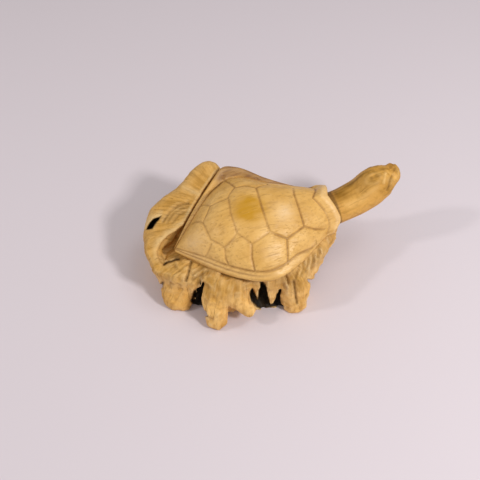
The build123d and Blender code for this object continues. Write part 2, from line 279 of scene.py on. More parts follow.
# Limbs of the root as the viewer sees them: chains of (to the right, out to the viewer, height, radius)
VIEW_HEADING = np.radians(252.0)
LOBES = {
    "pocket_wall": [(-58.6, -1.5, 23.5, 4.5), (-57, 9.5, 25, 4.5), (-52, 20, 24, 5), (-42.5, 23, 24, 6)],
    "upper_lobe": [(-57, -13.2, 28, 4.0), (-44, -24.3, 31.3, 4.8), (-29, -39.2, 39.4, 2.8)],
    "lower_lobe": [(-57.6, -2.5, 24.5, 4), (-51.2, -10.5, 28.2, 4), (-43.3, -17, 32, 3)],
    "under_notch": [(-59, -11.5, 20.5, 5), (-52, -12, 20, 6)],
}
LOBE_BLEND = 6.0
LOBE_CLEARANCE = 0.5
FAR_LOBE_RAISE = 1.5
FEET = {
    "palm": [(-20.5, 26, 21, 8), (-12, 28, 21.5, 8)],
    "prong": [(-22, 29, 22, 7.5), (-22.6, 37.5, 10, 7.4), (-22.3, 41, 3.5, 5.8)],
    "finger": [(-17, 31, 20, 7.5), (-10, 35.5, 15, 6.2), (-4.5, 39, 11, 4.6)],
    "left_stump": [(-45, 10, 20, 9), (-45, 19, 12, 9), (-45, 25.5, 4, 8.6)],
    "left_edge": [(-39.5, 12, 22, 6), (-39.5, 22, 12, 5.5), (-41, 28, 3, 5)],
    "right_stump": [(21.2, 25, 24, 7.6), (21.2, 27, 12, 7.8), (21.2, 28, 3, 7.6)],
}
FOOT_BLEND = 4.0

# Cuts that the photograph doesn't show: the hollow, far gaps as (place, heading in degrees, width, height),
# and the room under the front
HOLLOW_MIDDLE = np.array([-6.0, 5.0, 0.0])
HOLLOW_HALF = np.array([30.0, 17.0, 20.0])
HOLLOW_SLOPE = 15.0
HOLLOW_BLEND = 1.0
HOLLOW_EDGE = 1.2
FAR_GAPS = [((-4, 12), 72, 14, 21), ((-14, 14), 128, 14, 22)]
GAP_TAPER = 0.7
GAP_NARROWING = 0.4
FRONT_CLEARANCE = 11.5
FRONT_START = 27.5
FRONT_RISE = 0.1
FRONT_RISE_START = 30.0
FRONT_SLOPE = 0.9
FRONT_RAGGED = 1.6
RAGGED_HEIGHT = 0.8

# Cuts that show in the photograph, with their outlines as its pixels: gaps between the feet, the room behind
# the splinters, notches and the tail's pocket
LEFT_GAP = [
    (204.2, 278.8), (200.4, 282.6), (198.8, 287), (196, 288.6), (196.6, 292), (193.8, 294.6),
    (195.2, 298.5), (192.6, 301.5), (193.6, 305), (190.6, 308), (189, 316), (207.5, 316),
    (204.6, 309), (203.6, 304), (203, 298), (204.6, 290), (206, 284.8),
]
NEAR_GAP = [
    (251.7, 287.5), (250, 293.5), (252, 301), (256.5, 306), (262, 309.5), (266.7, 311.5),
    (268.6, 317), (280, 317), (281, 311), (285, 305.5), (281, 304), (279.8, 299), (281, 292),
    (280.8, 288), (279.5, 287.5), (278.2, 291), (275, 298), (272.4, 303.5), (270.5, 305),
    (268.6, 298.5), (267.3, 290), (265.5, 285.5), (262.5, 283), (261.2, 279.5), (260.5, 284),
    (259.2, 291), (258.6, 297), (257.8, 299.8), (254.8, 295), (253, 289.5),
]
NEAR_ROOM = [
    (251.5, 288), (250, 294), (252.5, 301.5), (262, 309.5), (268.6, 317), (280, 317), (282, 304),
    (281, 288), (272, 284), (262, 281), (254, 286),
]
RIGHT_NOTCH = [(305.8, 277.5), (311.5, 280), (312, 283), (307.8, 283)]
LOBE_NOTCH = [
    (162.5, 215), (158, 216.6), (153.4, 218.4), (149.6, 222.8), (145, 230.2), (152.6, 229),
    (155, 225), (158.6, 220.8),
]
POCKET = [
    (186, 223), (176, 231), (168, 236), (160, 243), (157.3, 251), (159, 258.5), (164, 265),
    (171, 261.5), (182, 259), (190, 250),
]
GAP_FLOOR_DEPTH = 0.7
GAP_SLOPE = 1.1
# Painted shade, near black, on the gaps' walls deeper than this
GAP_SHADE_DEPTH = 1.3
GAP_EDGE = 0.5
SPLINTER_DEPTH = 4.5
NOTCH_DEPTH = 5.0
NOTCH_FLOOR = -14.5
# Inset and margin of the painted shade in the lobe's notch
NOTCH_SHADE_INSET = 0.5
NOTCH_SHADE_MARGIN = 1.5
POCKET_DEPTH = 2.5
POCKET_BOWL = 0.9
POCKET_EDGE = 1.5
CUT_RAGGED = 0.4

# Lines in the root, as (pixels of the photograph, width, depth, share of painted shade)
ROOT_LINES = [
    ([(164, 264.6), (168, 262), (171, 261.6), (175.5, 259.6), (179, 259.4)], 0.5, 1.6, 1.0),
    ([(316, 275.4), (318.6, 274.6), (320.6, 271.6)], 0.8, 1.6, 1.0),
    ([(191, 262.5), (189, 271.5), (185.8, 281)], 0.7, 1.3, 0.75),
    ([(192, 275), (203, 267)], 0.8, 0.9, 0.3),
    ([(192.5, 280), (207.5, 271)], 0.8, 0.9, 0.35),
    ([(173.5, 265.8), (179.5, 271)], 0.7, 0.7, 0.25),
    ([(194.8, 291), (193.8, 296), (191.8, 300.5)], 0.7, 2.0, 1.0),
    ([(155.6, 279.6), (156.8, 282.6)], 0.7, 1.6, 0.8),
    ([(162.8, 282.8), (161.4, 286.8)], 0.8, 2.0, 1.0),
    ([(293.6, 281), (294.6, 290), (296.6, 303)], 0.7, 1.4, 0.7),
    ([(286, 276), (288, 283)], 0.8, 0.9, 0.3),
    ([(297, 271), (295, 278)], 0.8, 0.8, 0.3),
    ([(304, 262), (303.5, 270), (301, 276)], 0.9, 0.9, 0.35),
    ([(309, 258), (307.6, 266), (305, 272)], 0.8, 0.8, 0.35),
    ([(314, 254), (313, 262), (311.5, 268)], 0.8, 0.8, 0.3),
    ([(319, 249), (317.6, 258)], 0.8, 0.8, 0.3),
    ([(163, 222), (169.5, 212.5), (178, 206), (188, 203.5)], 0.8, 1.0, 0.45),
    ([(167, 222.5), (173.5, 213), (181, 208.5), (188, 207)], 0.8, 0.8, 0.35),
    ([(172, 222.5), (179, 214.5), (187, 211)], 0.8, 0.7, 0.3),
    # Painted shadow under the near rim's overhang
    ([(222, 274), (239.5, 278.6), (259.4, 280)], 0.9, 0.9, 0.35),
]

# How far from the skin the shown cuts and the relief are worked out
SEEN_SKIN = (-18, 8)
SEEN_OUT = 5.0
SEEN_REAR = -30.0
LINE_SKIN = -8.0
RELIEF_REACH = 5.0

# Relief and tones of the root: heights of its relief, and masks, mostly of painted shade, by depth, height
# and distance to the wood
LUMP_HEIGHT = 0.8
FIBRE_HEIGHT = 0.7
FINE_FIBRE_HEIGHT = 0.3
RELIEF_MEAN = 0.35
FAR_SMOOTHING = 0.6
GNARL_START = (0.6, 1.0)
# The pocket's darker wood with painted shade
POCKET_MASK = (1.2, -0.6)
# Where painted shade starts in the gaps and in the hollows, and how strong it is in the hollows
GAP_SHADE_MASK = (0.8, 0.0)
HOLLOW_SHADE_MASK = (2.0, 5.0)
HOLLOW_SHADE = 0.4
# Painted shade on the root's upper parts, which face away from the light
TOP_SHADE_MASK = (16, 26)
# Reaches at which the painted shade in creases and the pale edges are felt
FEELERS = [(2.6, 0.7), (1.1, 1.0)]
NORMAL_STEP = 0.6

# Grain: how much slower the figure changes along it, the ring that the root's grain is laid on, and its sway
GRAIN_STRETCH = 0.1
GRAIN_RING = 40.0
SWAY_WIDTH = 2.5

# Random fields, as (cell, seed)
LATTICE_SIZE = 32
TOOL_WAVES = ((7, 6, 9), 3)
FAINT_GROOVES = ((13, 13, 13), 4)
NECK_WAVES = ((9, 7, 7), 5)
GRAIN_SWAY = ((22, 22, 22), 6)
HEAD_FACETS = ((3.2, 3.2, 3.2), 8)
NECK_STREAKS = ((2.4, 2.4, 11.9), 9)
HEAD_NICKS = ((1.5, 1.5, 1.5), 10)
RAGGED_EDGES = ((2.2, 2.2, 4.5), 11)
STAIN_PATCHES = ((5.0, 2.6, 5.0), 12)
NECK_PATCHES = ((2.2, 2.2, 5.0), 15)
ROOT_LUMPS = ((11, 11, 13), 21)
ROOT_FIBRES = ((3.2, 3.2, 2.4), 22)
FINE_FIBRES = ((1.7, 1.7, 1.6), 23)
ROOT_GNARLS = ((3.1, 3.1, 4.2), 24)

# Figure of the wood: noises as (the place they read, scale, detail, roughness), and how they are mixed
FIGURE_NOISES = {
    "Tone": ("Place", 65, 4, 0.6),
    "Mottle": ("Place", 330, 3, 0.6),
    "Streak": ("Grain", 480, 5, 0.62),
    "Pores": ("Grain", 1500, 2, 0.5),
}
PORE_RANGE = (0.58, 0.72)
PORE_DEPTH = 0.35
MOTTLE_HEIGHT = 0.6
TONE_RANGE = (0.32, 0.68)
MOTTLE_RANGE = (0.48, 0.7)
STREAK_RANGE = (0.45, 0.8)
STREAK_STRENGTH = 0.7
PORE_STRENGTH = 0.5
WASH_RANGE = (0.35, 0.65)
ROUGHNESS_RANGE = (0.3, 0.7)
ROUGHNESS_SPREAD = 0.14
BUMP_STRENGTH = 0.6

# Finishes: pale, middle and deep tones, washes as (mask, colour, strength, how broken by the grain), and the
# height of the fibres as relief in metres
FINISHES = {
    "waxed_shell_wood": {
        "tones": [(0.77, 0.45, 0.13), (0.65, 0.35, 0.075), (0.43, 0.21, 0.035)],
        "washes": [
            # Painted shade with a browner stain on the far brim
            ("far_brim_shade_and_stain", (0.22, 0.095, 0.025), 1.0, 0.35),
            ("stain", (0.53, 0.25, 0.0), 1.0, 0.12),
            # Painted highlight, cream
            ("wear_and_highlight", (0.92, 0.64, 0.34), 0.4, 0.4),
            ("groove", (0.27, 0.115, 0.02), 0.8, 0.3),
        ],
        "mottled": 0.2, "roughness": 0.38, "gloss": 0.5, "relief": 0.0006,
    },
    "waxed_neck_wood": {
        "tones": [(0.74, 0.4, 0.09), (0.6, 0.3, 0.052), (0.4, 0.19, 0.02)],
        "washes": [
            ("stain", (0.23, 0.1, 0.0), 1.0, 0.4),
            # Painted highlight, pale
            ("wear_and_highlight", (0.92, 0.6, 0.24), 0.45, 0.4),
            # Painted shade in the eye sockets, with dark patches of stain on the nape
            ("shade", (0.12, 0.055, 0.004), 0.7, 0.4),
            ("groove", (0.13, 0.055, 0.012), 0.8, 0.3),
            # Painted shadow under the collar
            ("seat", (0.12, 0.055, 0.01), 0.8, 0.2),
        ],
        "mottled": 0.45, "roughness": 0.42, "gloss": 0.25, "relief": 0.0005,
    },
    "waxed_root_wood": {
        "tones": [(0.93, 0.56, 0.19), (0.77, 0.415, 0.1), (0.44, 0.2, 0.034)],
        "washes": [
            # Painted shade on the root's upper parts
            ("top", (0.46, 0.23, 0.04), 0.8, 0.45),
            # Pale edges, of wear and painted highlight
            ("wear_and_highlight", (0.95, 0.7, 0.36), 0.8, 0.4),
            # Painted shade in the root's creases and hollows
            ("cavity_shade", (0.38, 0.17, 0.025), 0.62, 0.3),
            # The pocket's darker wood with painted shade
            ("pocket", (0.45, 0.21, 0.02), 0.3, 0.6),
            # Painted shade in the root's cracks and lines
            ("groove", (0.05, 0.022, 0.008), 0.9, 0.2),
            # Painted shade, near black in the gaps and milder in the hollows
            ("depth", (0.008, 0.005, 0.003), 1.0, 0.03),
        ],
        "mottled": 0.45, "roughness": 0.5, "gloss": 0.18, "relief": 0.0017,
    },
    "dowel_wood": {
        "tones": [(0.74, 0.55, 0.33), (0.66, 0.47, 0.26), (0.5, 0.33, 0.16)],
        "washes": [],
        "mottled": 0.1, "roughness": 0.5, "gloss": 0.4, "relief": 0.0003, "grained": False,
    },
}


def curve(stations, values, x):
    """Curve through the values: on each stretch a cubic with the slopes of the neighbouring stretches."""
    stations = np.asarray(stations, float)
    values = np.asarray(values, float)
    slopes = np.gradient(values, stations)
    i = np.clip(np.searchsorted(stations, x) - 1, 0, len(stations) - 2)
    width = stations[i + 1] - stations[i]
    s = np.clip((x - stations[i]) / width, 0, 1)
    rise = values[i + 1] - values[i]
    first = slopes[i] * width - rise
    last = rise - slopes[i + 1] * width
    return values[i] + rise * s + s * (1 - s) * ((1 - s) * first + s * last)


def fade(low, high, x):
    """Smooth step from 0 at low to 1 at high."""
    s = np.clip((x - low) / (high - low), 0, 1)
    return s * s * (3 - 2 * s)


def bell(x, width):
    """Bell curve: 1 at zero, falling to 1/e at a width from it."""
    return np.exp(-((x / width) ** 2))


def mixed(shares, forms):
    """Sum of the named forms, each times its share, where the form "all" is 1 everywhere."""
    return sum(share * forms.get(name, 1) for name, share in shares.items())


def noise(points, field):
    """Smooth random field between -1 and 1: random values on a lattice of its cell, blended by fade."""
    cell, seed = field
    lattice = np.random.default_rng(seed).uniform(-1, 1, (LATTICE_SIZE,) * 3).astype(np.float32)
    place = points.reshape(-1, 3) / np.asarray(cell, float)
    low = np.floor(place).astype(int)
    s = fade(0, 1, place - low)
    total = np.zeros(len(place))
    for corner in np.ndindex(2, 2, 2):
        i, j, k = ((low + corner) % LATTICE_SIZE).T
        total += np.prod(np.where(corner, s, 1 - s), axis=1) * lattice[i, j, k]
    return total.reshape(points.shape[:-1])


def unit(vectors):
    """Vectors divided by their length."""
    return vectors / np.maximum(np.linalg.norm(vectors, axis=-1, keepdims=True), 1e-9)


def to_chord(points, begin, end):
    """Share of a chord at which each point is nearest to it, and the distance there."""
    run = end - begin
    share = np.clip(((points - begin) @ run) / (run @ run), 0, 1)
    return share, np.linalg.norm(points - begin - share[..., None] * run, axis=-1)


def line_distance(points, line):
    """Distance from each point to the nearest of a line's chords."""
    best = np.full(points.shape[:-1], np.inf)
    for begin, end in zip(line[:-1], line[1:]):
        best = np.minimum(best, to_chord(points, begin, end)[1])
    return best


def refine(line):
    """The two coordinates of a line whose runs are each cut into equal steps."""
    place = np.array(line, float)
    index = np.arange(len(place))
    steps = np.linspace(0, index[-1], STEPS_PER_RUN * index[-1] + 1)
    return np.interp(steps, index, place[:, 0]), np.interp(steps, index, place[:, 1])


def surface_normals(points):
    """Unit normals of a grid, from the cross product of its two differences."""
    return unit(np.cross(np.gradient(points, axis=0), np.gradient(points, axis=1)))


def view_axes():
    """Right, up and back of the photograph's camera, as rows."""
    right = np.array([np.cos(VIEW_AZIMUTH), np.sin(VIEW_AZIMUTH), 0])
    level = np.array([np.sin(VIEW_AZIMUTH), -np.cos(VIEW_AZIMUTH), 0])
    back = level * np.cos(VIEW_ELEVATION) + np.array([0, 0, np.sin(VIEW_ELEVATION)])
    return np.array([right, np.cross(back, right), back])


def shell_axes():
    """Axes of the tilted shell, as columns: pitched about Y, then rolled about its own length."""
    cp, sp = np.cos(SHELL_PITCH), np.sin(SHELL_PITCH)
    cr, sr = np.cos(SHELL_ROLL), np.sin(SHELL_ROLL)
    pitch = np.array([[cp, 0, -sp], [0, 1, 0], [sp, 0, cp]])
    roll = np.array([[1, 0, 0], [0, cr, -sr], [0, sr, cr]])
    return pitch @ roll


VIEW_AXES = view_axes()
SHELL_AXES = shell_axes()


def to_picture(points):
    """Pixel of the photograph at which the camera sees each place."""
    right, up, back = ((points - AIM_POINT) @ VIEW_AXES.T).T
    scale = FOCAL_PIXELS / (VIEW_DISTANCE - back)
    return np.stack([AIM_PIXEL[0] + scale * right, AIM_PIXEL[1] - scale * up], -1)


def to_view(points):
    """Places as the viewer stands to them: across to the right, out towards the viewer, and height."""
    c, s = np.cos(VIEW_HEADING), np.sin(VIEW_HEADING)
    x, y, z = points.T
    return np.stack([-s * x + c * y, c * x + s * y, z], -1)


def from_shell(local):
    """Places in the shell's own plane, put into the carving's place."""
    return local @ SHELL_AXES.T + SHELL_MIDDLE


def to_shell(points):
    """Places of the carving, in the shell's own plane."""
    return (points - SHELL_MIDDLE) @ SHELL_AXES


def seat_height(x):
    """Arc over the shell's length that its edge and seat follow, x from the shell's middle."""
    half = SHELL_LENGTH / 2
    radius = (half**2 + SEAT_ARCH**2) / (2 * SEAT_ARCH)
    return SEAT_ARCH - radius + np.sqrt(np.maximum(radius**2 - x**2, 1.0))


def half_width(a, far):
    """Half width of the shell at a distance from the tail, on the far or the near side."""
    return np.where(far, curve(FAR_STATIONS, FAR_HALF, a), curve(NEAR_STATIONS, NEAR_HALF, a))


def dome(a, t):
    """Shell at a distance from the tail and a share of the half width: a flattened power curve across
    times the dome's rise, on the arched seat, ending in a flared brim on the far side."""
    x = a - SHELL_LENGTH / 2
    half = half_width(a, t > 0)
    y = half * t
    brim = np.where(t > 0, curve(BRIM_STATIONS, FAR_BRIM, a), 0)
    reach = np.maximum(half - brim, LEAST_DOME_SHARE * half)
    share = np.minimum(np.abs(y) / reach, 1)
    on_brim = np.clip((np.abs(y) - reach) / np.maximum(brim, LEAST_BRIM), 0, 1)
    rise = curve(DOME_STATIONS, DOME_RISE, a) * (1 - share**DOME_POWER)
    flare = curve(BRIM_STATIONS, BRIM_FLARE, a) * on_brim
    return np.stack([x, y, seat_height(x) + rise + flare], -1)


def part_shift():
    """Step from the carving's place to the part's origin, read from the front dowel's box."""
    local = np.array([PEG_PLACE, 0, seat_height(PEG_PLACE) - RIM_EDGE - PEG_OFFSET])
    low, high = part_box("shell_peg_front")
    return (np.array(low) + np.array(high)) / 2 * 1000 - from_shell(local)


PART_SHIFT = part_shift()


def in_part(points):
    """Millimetres of the carving's place, as metres of the part."""
    return (np.asarray(points, float) + PART_SHIFT) / 1000


def add_piece(name, points, faces, node, material, masks):
    """Mesh object from whole arrays, smooth, with its point masks, standing for a node of the part."""
    mesh = bpy.data.meshes.new(name)
    mesh.from_pydata(in_part(points).tolist(), [], faces)
    mesh.polygons.foreach_set("use_smooth", np.ones(len(mesh.polygons), bool))
    for mask, values in masks.items():
        values = np.asarray(values, np.float32)
        kind, field = ("FLOAT_VECTOR", "vector") if values.ndim == 2 else ("FLOAT", "value")
        layer = mesh.attributes.new(mask, kind, "POINT")
        layer.data.foreach_set(field, values.ravel())
    mesh.materials.append(material)
    mesh.update()
    piece = bpy.data.objects.new(name, mesh)
    bpy.context.scene.collection.objects.link(piece)
    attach(piece, "root")
    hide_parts(node)


def close_ends(loops):
    """Points of a grid of closed loops, followed by the middles of its first and last loop."""
    return np.concatenate([loops.reshape(-1, 3), loops[:1].mean(axis=1), loops[-1:].mean(axis=1)])


def tube_faces(rings, around):
    """Quads between closed rings, and a fan from each end ring to its middle point."""
    i, j = np.meshgrid(np.arange(rings - 1), np.arange(around), indexing="ij")
    k = (j + 1) % around
    quads = np.stack([i * around + j, i * around + k, (i + 1) * around + k, (i + 1) * around + j], -1)
    j = np.arange(around)
    k = (j + 1) % around
    start = np.stack([k, j, np.full(around, rings * around)], -1)
    last = (rings - 1) * around
    end = np.stack([last + j, last + k, np.full(around, rings * around + 1)], -1)
    return quads.reshape(-1, 4).tolist() + start.tolist() + end.tolist()


def near_rim(a):
    """Width of the rim band on the near side: full amidships, narrower to the tail and none at the front."""
    tail = TAIL_RIM_SHARE + (1 - TAIL_RIM_SHARE) * fade(*RIM_WIDENS, a)
    return RIM_BAND * fade(*RIM_NARROWS, a) * tail


def rim_width(a, t):
    """Width of the rim: the brim on the far side, the rim band on the near side."""
    return np.where(t > 0, curve(BRIM_STATIONS, FAR_BRIM, a), near_rim(a))


def seam_distance(points):
    """Distance from each shell point to the nearest seam, the seams taken as short chords on the dome."""
    seams = MIDLINE_SEAMS + NEAR_SEAMS + FAR_SEAMS
    return np.min([line_distance(points, dome(*refine(seam))) for seam in seams], axis=0)


def shell_lines(top, a, t, edge, ahead):
    """Distance to the nearest carved line, and the cuts as bell curves of it: seams inside the rim, the rim's
    inner line, the collar's line, and a fainter line along the middle of the near rim."""
    stopped = SEAM_STOP_DISTANCE * (1 - fade(*SEAM_STOPS, ahead))
    seam = np.where(edge > SEAM_MARGIN, seam_distance(top) + stopped, NO_LINE)
    rim = np.where(a < RIM_END, np.abs(edge - rim_width(a, t)), NO_LINE)
    line = np.minimum(np.minimum(seam, rim), np.abs(ahead))
    strong = fade(*FAINT_RANGE, noise(top, FAINT_GROOVES))
    cut = bell(line, GROOVE_WIDTH) * (FAINTEST_GROOVE + (1 - FAINTEST_GROOVE) * strong)
    middle = np.abs(edge - RIM_MIDDLE * near_rim(a)) + NO_LINE * (t > 0)
    middle_cut = MIDDLE_LINE_SHARE * bell(middle, MIDDLE_LINE_WIDTH) * fade(*MIDDLE_LINE_FADES, a)
    return line, np.maximum(cut, middle_cut)


def shell_tones(top, a, t, edge, ahead):
    """Masks of the shell's tones: painted shade with a browner stain along the far brim, the stain, and
    painted
    highlights: bell curves about the rim's ridge and the patches, and a fade onto the collar."""
    brim = edge / np.maximum(rim_width(a, t), LEAST_BRIM)
    spot = ((a - STAIN_PLACE[0]) / STAIN_SIZE[0]) ** 2 + ((t - STAIN_PLACE[1]) / STAIN_SIZE[1]) ** 2
    stain = bell(spot, 1) * (STAIN_SHARE + STAIN_BREAK * noise(top, STAIN_PATCHES))
    # Painted highlights along the rim's ridge, on the collar and in the patches
    wear_and_highlight = RIDGE_HIGHLIGHT_SHARE * bell(edge - RIM_BAND / 2, RIDGE_HIGHLIGHT_WIDTH) * (a < RIM_END) + fade(*COLLAR_HIGHLIGHT, ahead)
    for place, size, share in PAINTED_HIGHLIGHT_PATCHES:
        wear_and_highlight += share * bell(a - place[0], size[0]) * bell(t - place[1], size[1])
    return {
        # Painted shade with a browner stain on the far brim
        "far_brim_shade_and_stain": fade(*BRIM_SHADE, brim) * (t > 0) * fade(*BRIM_SHADE_STARTS, a),
        "stain": np.clip(stain, 0, 1),
        "wear_and_highlight": wear_and_highlight,
    }


def shell_loops(top, a):
    """Closed loops of the shell: each row of its top with a flat underside, then the lip's rings, which are
    the front loop drawn in to its middle."""
    x = (a[:, :1] + a[:, -1:]) / 2 - SHELL_LENGTH / 2
    share = np.linspace(1, 0, UNDERSIDE_ACROSS)[:, None]
    under = top[:, -1:] * share + top[:, :1] * (1 - share)
    under[..., 2] = seat_height(x) - RIM_EDGE
    loops = np.concatenate([top, under], axis=1)
    front = loops[-1]
    lip = [front + (LIP_MIDDLE - front) * inset + np.array([out, 0, 0]) for inset, out in LIP_STEPS]
    return np.concatenate([loops, np.array(lip)])


def make_carapace(material):
    """Shell on a grid of distances from the tail and shares of the half width: the dome moved along its
    normal by crowned plates less the cuts, the collar and the waves of the tool, then closed below."""
    s = np.linspace(0, 1, SHELL_ROWS)[:, None]
    t = np.sin(np.linspace(-EDGE_CROWDING, EDGE_CROWDING, SHELL_ACROSS)) / np.sin(EDGE_CROWDING)
    t = np.broadcast_to(t, (SHELL_ROWS, SHELL_ACROSS))
    a = TAIL_START + s * (curve(FRONT_SHARE, FRONT_EDGE, np.abs(t)) - TAIL_START)
    ahead = a - curve(FRONT_SHARE, COLLAR_LINE, np.abs(t))
    edge = (1 - np.abs(t)) * half_width(a, t > 0)
    top = dome(a, t)
    line, cut = shell_lines(top, a, t, edge, ahead)
    inner = fade(0, EDGE_ROUNDING, edge)
    lift = (PLATE_CROWN * (1 - bell(line, PLATE_ROUNDING)) - GROOVE_DEPTH * cut) * inner
    lift += COLLAR_LIFT * fade(*COLLAR_RISE, ahead) + TOOL_WAVE_HEIGHT * noise(top, TOOL_WAVES)
    top = top + surface_normals(top) * lift[..., None]
    loops = shell_loops(top, a)
    count, around = loops.shape[:2]
    local = close_ends(loops)
    masks = {}
    for name, values in {"groove": cut * inner, **shell_tones(top, a, t, edge, ahead)}.items():
        below = ((0, count - SHELL_ROWS), (0, around - SHELL_ACROSS))
        masks[name] = np.append(np.pad(values, below), [0, 0])
    sway = SWAY_WIDTH * noise(local, GRAIN_SWAY)
    masks["grain"] = np.stack([local[:, 1] + sway, local[:, 2], GRAIN_STRETCH * local[:, 0]], -1) / 1000
    faces = tube_faces(count, around)
    add_piece("carved_shell", from_shell(local), faces, "carapace", material, masks)


def neck_surface(s, turn):
    """Place on the neck at a station and a turn (0 to the far side, then upwards): an oval with its reach
    up, down and sideways, leaning, carried along a smooth path."""
    knots = np.arange(len(NECK_PLACES))
    places = np.array(NECK_PLACES)

    def path(at):
        return np.stack([curve(knots, places[:, i], at) for i in range(3)], -1)

    along = path(np.clip(s + SLOPE_STEP, 0, knots[-1])) - path(np.clip(s - SLOPE_STEP, 0, knots[-1]))
    along = unit(along)
    side = unit(np.cross([0, 0, 1], along))
    up = np.cross(along, side)
    lean = np.radians(curve(knots, NECK_LEAN, s))[..., None]
    up = up * np.cos(lean) + along * np.sin(lean)
    high = np.where(np.sin(turn) > 0, curve(knots, NECK_UP, s), curve(knots, NECK_DOWN, s))
    wide = curve(knots, NECK_SIDE, s)
    return path(s) + side * (wide * np.cos(turn))[..., None] + up * (high * np.sin(turn))[..., None]


def face_line(points, line):
    """Distance from each point of the head to a carved line, which is on both sides of the crown."""
    station, aside = refine(line)
    sides = [neck_surface(station, np.radians(CROWN_TURN + way * aside)) for way in (1, -1)]
    return np.minimum(line_distance(points, sides[0]), line_distance(points, sides[1]))


def stretch_of_neck(ends, s):
    """Share of a stretch of the neck: it fades in over its first pair of stations and out over its last."""
    return fade(*ends[0], s) * fade(*ends[1], s)


def neck_tones(s, aside, straight, forms):
    """Masks of the neck's tones: darker carved lines, painted shade in the eye sockets and dark patches of
    stain on the nape, stain on the nape and the head, painted highlights, and painted shadow on the seat
    under the collar."""
    nape = bell(aside - NAPE[0], NAPE[1])
    streaks = fade(*STREAK_FADE, noise(straight, NECK_STREAKS))
    patches = fade(*PATCH_FADE, noise(straight, NECK_PATCHES)) * nape
    patches *= stretch_of_neck(PATCH_STRETCH, s)
    flank = bell(aside - FLANK[0], FLANK[1]) * stretch_of_neck(FLANK_STRETCH, s) * (1 - FLANK_BREAK * streaks)
    snout = bell(aside - SNOUT[0], SNOUT[1]) * fade(*SNOUT_START, s) * mixed(SNOUT_SPECKLE, forms)
    # Painted shade in the eye sockets
    sockets = mixed(SOCKET_SHARES, forms) * mixed(SOCKET_SPECKLE, forms)
    stain = nape * (PLAIN_STAIN + (1 - PLAIN_STAIN) * streaks) * stretch_of_neck(NAPE_STRETCH, s)
    stain += np.clip(mixed(HEAD_STAIN, forms), 0, 1) * fade(*HEAD_START, s)
    # Painted highlights on the cheek, lid, flank and snout
    wear_and_highlight = mixed(PAINTED_HIGHLIGHT_SHARES, {**forms, "flank": flank, "snout": snout})
    return {
        "groove": np.clip(mixed(LINE_DARKENING_SHARES, forms), 0, 1),
        # The eye sockets' painted shade, with the nape's dark patches of stain
        "shade": np.clip(sockets, 0, 1) + PATCH_SHARE * patches,
        "stain": stain,
        "wear_and_highlight": np.clip(wear_and_highlight, 0, BRIGHTEST_HIGHLIGHT),
        # Painted shadow under the collar
        "seat": fade(*SEAT_SHADE, s),
    }


def make_neck(material):
    """Neck and head on a grid of stations and turns: the plain surface moved along its normal by the carved
    lines, the eyes and the marks of the knife."""
    stations = np.linspace(0, len(NECK_PLACES) - 1, NECK_RINGS)
    turns = np.linspace(0, 2 * np.pi, NECK_AROUND, endpoint=False)
    s, turn = np.meshgrid(stations, turns, indexing="ij")
    points = neck_surface(s, turn)
    aside = np.abs((np.degrees(turn) - CROWN_TURN + 180) % 360 - 180)
    eye = np.hypot((s - EYE_PLACE[0]) / EYE_SIZE[0], (aside - EYE_PLACE[1]) / EYE_SIZE[1])
    forms = {name: bell(face_line(points, line), width) for name, (line, width) in FACE_LINES.items()}
    forms["lid"] = bell(eye - LID_PLACE, LID_WIDTH)
    forms["hollow"] = bell(eye, 1)
    forms["socket"] = fade(*SOCKET_SHADE, eye)
    forms["waves"] = noise(points, NECK_WAVES)
    forms["facets"] = noise(points, HEAD_FACETS) * fade(*FACETS_START, s)
    forms["nicks"] = noise(points, HEAD_NICKS) * fade(*NICKS_START, s)
    outward = -surface_normals(points)
    points = points + outward * mixed(CARVED_HEIGHTS, forms)[..., None]
    straight = np.stack([NECK_RADIUS * np.cos(turn), NECK_RADIUS * np.sin(turn), STATION_LENGTH * s], -1)
    masks = neck_tones(s, aside, straight, forms)
    masks = {name: np.append(values, [0, 0]) for name, values in masks.items()}
    grain = straight.reshape(-1, 3) * np.array([1, 1, GRAIN_STRETCH])
    masks["grain"] = np.concatenate([grain, np.zeros((2, 3))]) / 1000
    faces = tube_faces(NECK_RINGS, NECK_AROUND)
    add_piece("neck_with_head", close_ends(points), faces, "neck_and_head", material, masks)


def blend_min(a, b, reach):
    """Smaller of two fields, rounded where they are within reach of each other."""
    h = np.maximum(reach - np.abs(a - b), 0) / reach
    return np.minimum(a, b) - h * h * reach / 4


def blend_max(a, b, reach):
    """Larger of two fields, rounded where they are within reach of each other."""
    return -blend_min(-a, -b, reach)


def limb_field(points, stations):
    """Distance to a chain of tapering round limbs, below zero inside them."""
    stations = np.array(stations, float)
    best = np.full(len(points), np.inf)
    for begin, end in zip(stations[:-1], stations[1:]):
        share, away = to_chord(points, begin[:3], end[:3])
        best = np.minimum(best, away - begin[3] - share * (end[3] - begin[3]))
    return best


def outline_radius(outline, angle):
    """Radius of an outline round the root's middle at an angle: a closed smooth curve through its points."""
    place = np.array(outline, float) - ROOT_MIDDLE
    corner = np.arctan2(place[:, 1], place[:, 0]) % (2 * np.pi)
    order = np.argsort(corner)
    corner = corner[order]
    radius = np.hypot(place[:, 0], place[:, 1])[order]
    corner = np.concatenate([corner[-3:] - 2 * np.pi, corner, corner[:3] + 2 * np.pi])
    radius = np.concatenate([radius[-3:], radius, radius[:3]])
    return curve(corner, radius, angle % (2 * np.pi))


